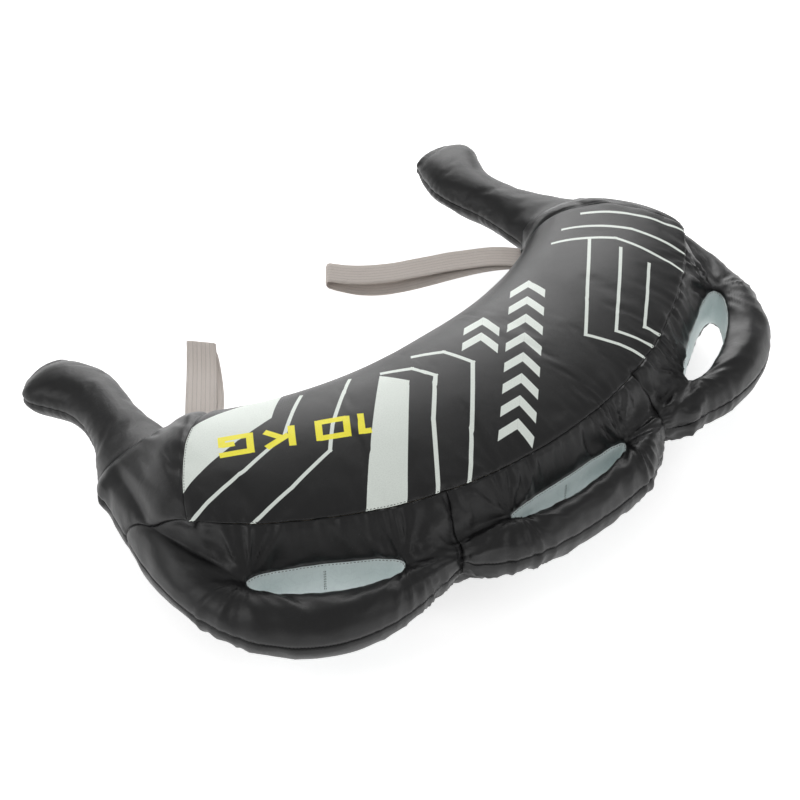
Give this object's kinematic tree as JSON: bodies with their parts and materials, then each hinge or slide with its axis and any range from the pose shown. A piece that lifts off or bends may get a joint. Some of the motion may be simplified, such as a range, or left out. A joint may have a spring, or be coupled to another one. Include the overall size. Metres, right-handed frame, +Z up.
{
  "type": "bulgarian bag",
  "caption": "Crescent-shaped filled training bag with cut-through hand slots along its outer edge, a padded horn grip at each end and a flat webbing loop beside each grip.",
  "frame": {"origin": "bottom centre of the bag's bounding box, on the floor it lies on", "axes": "+X across the bag through both ends (mirror plane X = 0), +Y from the handles towards the grips, +Z up through the printed top panel"},
  "size_m": [0.6362, 0.469, 0.135],
  "materials": {
    "black_fabric": "satin coated black fabric with folds and puckered seams",
    "printed_fabric": "satin coated black fabric with a pale grey-green and yellow geometric print",
    "grey_lining": "pale bluish grey woven lining",
    "taupe_webbing": "ribbed taupe webbing",
    "sand_pouch": "tightly filled cotton pouch",
    "wadding": "rolled wadding"
  },
  "bodies": {
    "bag": {"printed_top_panel": "printed_fabric", "bottom_panel": "black_fabric", "left_handle_panel_upper": "black_fabric", "left_handle_panel_lower": "black_fabric", "left_slot_lining": "grey_lining", "left_sand_pouch": "sand_pouch", "left_handle_roll": "wadding", "middle_handle_panel_upper": "black_fabric", "middle_handle_panel_lower": "black_fabric", "middle_slot_lining": "grey_lining", "middle_sand_pouch": "sand_pouch", "middle_handle_roll": "wadding", "right_handle_panel_upper": "black_fabric", "right_handle_panel_lower": "black_fabric", "right_slot_lining": "grey_lining", "right_sand_pouch": "sand_pouch", "right_handle_roll": "wadding", "left_end_panel_upper": "black_fabric", "left_end_panel_lower": "black_fabric", "right_end_panel_upper": "black_fabric", "right_end_panel_lower": "black_fabric"},
    "left_grip": {"left_grip_cover_upper": "black_fabric", "left_grip_cover_lower": "black_fabric", "left_grip_core": "wadding"},
    "right_grip": {"right_grip_cover_upper": "black_fabric", "right_grip_cover_lower": "black_fabric", "right_grip_core": "wadding"},
    "left_strap": {"left_strap_loop": "taupe_webbing"},
    "right_strap": {"right_strap_loop": "taupe_webbing"}
  },
  "joints": [
    {"name": "left_grip_bend", "type": "hinge", "parent": "bag", "child": "left_grip", "pos_m": [-0.24553, 0.07049, 0.058], "axis": [1, 0, 0], "range_deg": [-11, 19]},
    {"name": "right_grip_bend", "type": "hinge", "parent": "bag", "child": "right_grip", "pos_m": [0.24553, 0.07049, 0.058], "axis": [1, 0, 0], "range_deg": [-15, 15]},
    {"name": "left_strap_swing", "type": "hinge", "parent": "bag", "child": "left_strap", "pos_m": [-0.18869, 0.0588, 0.058], "axis": [0.6491, -0.7607, 0], "range_deg": [-55, 90]},
    {"name": "right_strap_swing", "type": "hinge", "parent": "bag", "child": "right_strap", "pos_m": [0.18869, 0.0588, 0.058], "axis": [0.6491, 0.7607, 0], "range_deg": [-55, 90]}
  ]
}
